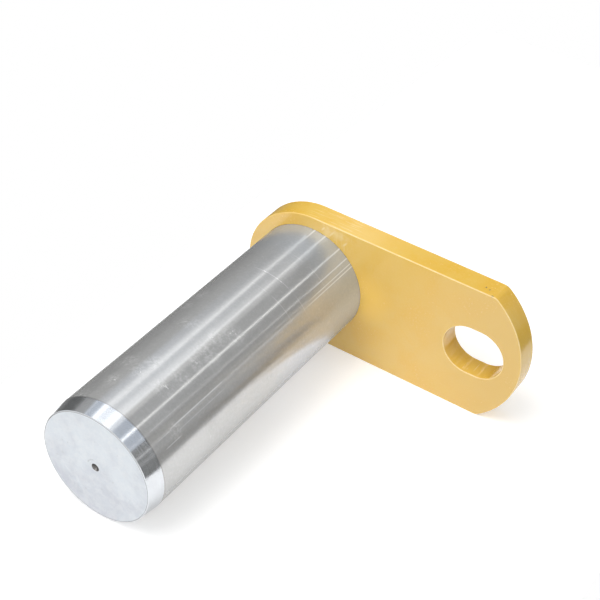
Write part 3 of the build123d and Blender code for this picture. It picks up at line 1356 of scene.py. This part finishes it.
def area_light(name, centre, axes, width, reach, brightness, tint):
    """A rectangular soft light. Its brightness is that of its face, where 1 is white."""
    lamp = bpy.data.lights.new(name, "AREA")
    lamp.shape = "RECTANGLE"
    lamp.size, lamp.size_y = width, reach
    lamp.energy = brightness * math.pi * width * reach
    lamp.color = tint
    light = bpy.data.objects.new(name, lamp)
    bpy.context.scene.collection.objects.link(light)
    light.matrix_world = Matrix.Translation(centre) @ axes.to_4x4()
    light.visible_camera = False


def strip_light(tint, name, angle_round, spread_angle, distance, start, end, brightness):
    """A strip along Y that faces the pin's axis."""
    turn = math.radians(angle_round)
    back = Vector((math.cos(turn), 0, math.sin(turn)))
    along = Vector((0, 1, 0))
    axes = Matrix((along.cross(back), along, back)).transposed()
    centre = back * distance + along * (start + end) / 2
    width = 2 * distance * math.tan(math.radians(spread_angle) / 2)
    area_light(name, centre, axes, width, end - start, brightness, tint)


def softbox(tint, name, centre, width, brightness):
    """A square softbox that faces the origin."""
    axes = Vector(centre).to_track_quat("Z", "Y").to_matrix()
    area_light(name, Vector(centre), axes, width, width, brightness, tint)


def white_room(stage):
    """A world that the camera and gloss see as white, and that lights the part evenly."""
    world = bpy.data.worlds.new("white_room")
    world.use_nodes = True
    tree = world.node_tree
    white = seen_white(tree)
    dim = product(tree, maths(tree, "SUBTRACT", 1.0, white), stage.daylight)
    feeds(
        tree, tree.nodes["Background"], Color=(1, 1, 1), Strength=maths(tree, "ADD", white, dim)
    )
    spread(tree)
    return world


def aimed_camera(stage):
    """The camera, turned about its aim by azimuth and elevation, and about its sight by roll."""
    lens = bpy.data.cameras.new("camera")
    lens.lens, lens.sensor_width = stage.lens, SENSOR_WIDTH
    lens.clip_start, lens.clip_end = 0.01, 20
    camera = bpy.data.objects.new("camera", lens)
    bpy.context.scene.collection.objects.link(camera)
    turn = (
        Matrix.Rotation(stage.azimuth, 4, "Z")
        @ Matrix.Rotation(math.pi / 2 - stage.elevation, 4, "X")
        @ Matrix.Rotation(stage.roll, 4, "Z")
    )
    back = turn.to_3x3() @ Vector((0, 0, stage.distance))
    camera.matrix_world = Matrix.Translation(Vector(stage.aim) + back) @ turn
    return camera


class LINKPIN_OT_set_stage(bpy.types.Operator):
    """Set the stage: a pale floor, plain soft light and the camera"""

    bl_idname = "linkpin.set_stage"
    bl_label = "Set Stage"

    def execute(self, context):
        scene, stage = context.scene, context.scene.link_pin_stage
        lay_floor(stage, scene.link_pin_turning, scene.link_pin_flag)
        set_walls(stage)
        for skylight in SKYLIGHTS:
            strip_light(stage.sky, *skylight)
        for lamp in LAMPS:
            strip_light(stage.lamps, *lamp)
        for box in SOFTBOXES:
            softbox(stage.lamps, *box)
        scene.world = white_room(stage)
        scene.camera = aimed_camera(stage)
        scene.view_settings.view_transform = "Standard"
        return {"FINISHED"}


# ---------------------------------------------------------------------------------------------
# Panel and registration
# ---------------------------------------------------------------------------------------------
operators = (
    LINKPIN_OT_turn_pin,
    LINKPIN_OT_cut_flag,
    LINKPIN_OT_lay_weld,
    LINKPIN_OT_set_stage,
)
settings = {
    "link_pin_turning": LinkPinTurning,
    "link_pin_flag": LinkPinFlag,
    "link_pin_weld": LinkPinWeld,
    "link_pin_finish": LinkPinFinish,
    "link_pin_stage": LinkPinStage,
}


class VIEW3D_PT_link_pin(bpy.types.Panel):
    """Lists the link pin's pieces with their sizes and colours"""

    bl_label = "Link Pin"
    bl_space_type = "VIEW_3D"
    bl_region_type = "UI"
    bl_category = "Link Pin"

    def draw(self, context):
        for operator in operators:
            self.layout.operator(operator.bl_idname)
        for name in settings:
            values = getattr(context.scene, name)
            box = self.layout.box()
            box.label(text=values.bl_rna.description)
            for key in values.__annotations__:
                box.prop(values, key)


def register():
    for cls in (*settings.values(), *operators, VIEW3D_PT_link_pin):
        bpy.utils.register_class(cls)
    for name, cls in settings.items():
        setattr(bpy.types.Scene, name, bpy.props.PointerProperty(type=cls))


def unregister():
    for name in settings:
        delattr(bpy.types.Scene, name)
    for cls in reversed((*settings.values(), *operators, VIEW3D_PT_link_pin)):
        bpy.utils.unregister_class(cls)


def main():
    register()
    bpy.ops.linkpin.turn_pin()
    bpy.ops.linkpin.cut_flag()
    bpy.ops.linkpin.lay_weld()
    bpy.ops.linkpin.set_stage()


if __name__ == "__main__":
    main()
